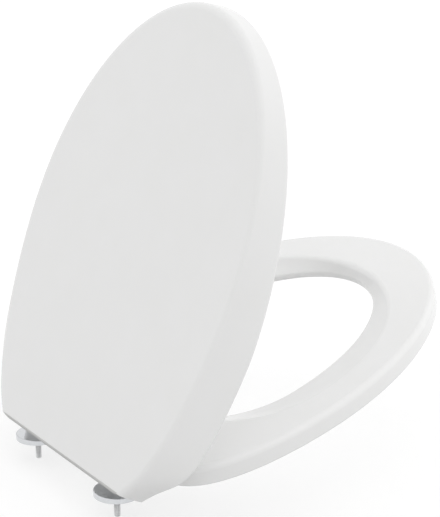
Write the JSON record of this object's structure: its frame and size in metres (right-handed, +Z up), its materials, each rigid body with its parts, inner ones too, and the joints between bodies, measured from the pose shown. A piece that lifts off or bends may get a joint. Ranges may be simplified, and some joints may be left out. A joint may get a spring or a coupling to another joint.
{
  "type": "toilet seat",
  "caption": "White moulded toilet seat: a dished lid and an open ring on chromed soft-close hinges, fixed to the pan by studs.",
  "frame": {"origin": "midway between the two mounting studs, on the hinge deck that the plates stand on", "axes": "+Z up along the studs, +X along the hinge axis to the seat's left as one sits on it, -Y towards the seat's front"},
  "size_m": [0.4148, 0.4145, 0.4471],
  "materials": {
    "white_moulding": "smooth glossy compression moulding",
    "buffer": "soft pale rubber, satin",
    "chromed_casting": "bright chrome plate on a casting",
    "pad": "dark grey sealing rubber",
    "zinc_steel": "pale zinc plate, threaded",
    "pin_steel": "ground stainless steel",
    "damper_housing": "pale grey moulded nylon",
    "bearing_plastic": "natural white acetal"
  },
  "bodies": {
    "hinge_bases": {"hinge_base_left": "chromed_casting", "hinge_base_right": "chromed_casting", "plate_pad_left": "pad", "plate_pad_right": "pad", "mounting_stud_left": "zinc_steel", "mounting_stud_right": "zinc_steel", "hinge_pin_left": "pin_steel", "hinge_pin_right": "pin_steel", "damper_barrel_left": "damper_housing", "damper_barrel_right": "damper_housing", "damper_cap_left": "damper_housing", "damper_cap_right": "damper_housing"},
    "ring": {"seat_ring": "white_moulding", "ring_buffer_front_left": "buffer", "ring_buffer_front_right": "buffer", "ring_buffer_rear_left": "buffer", "ring_buffer_rear_right": "buffer", "ring_bush_left": "bearing_plastic", "ring_bush_right": "bearing_plastic", "damper_rotor_right": "bearing_plastic"},
    "lid": {"lid": "white_moulding", "lid_buffer_front_left": "buffer", "lid_buffer_front_right": "buffer", "lid_buffer_rear_left": "buffer", "lid_buffer_rear_right": "buffer", "lid_bush_left": "bearing_plastic", "lid_bush_right": "bearing_plastic", "damper_rotor_left": "bearing_plastic"}
  },
  "joints": [
    {"name": "ring_hinge", "type": "hinge", "parent": "hinge_bases", "child": "ring", "pos_m": [0, -0.0078, 0.0404], "axis": [-1, 0, 0], "range_deg": [-16.8, 13.2]},
    {"name": "lid_hinge", "type": "hinge", "parent": "ring", "child": "lid", "pos_m": [0, -0.0078, 0.0404], "axis": [-1, 0, 0], "range_deg": [-51.5, 18.5]}
  ]
}
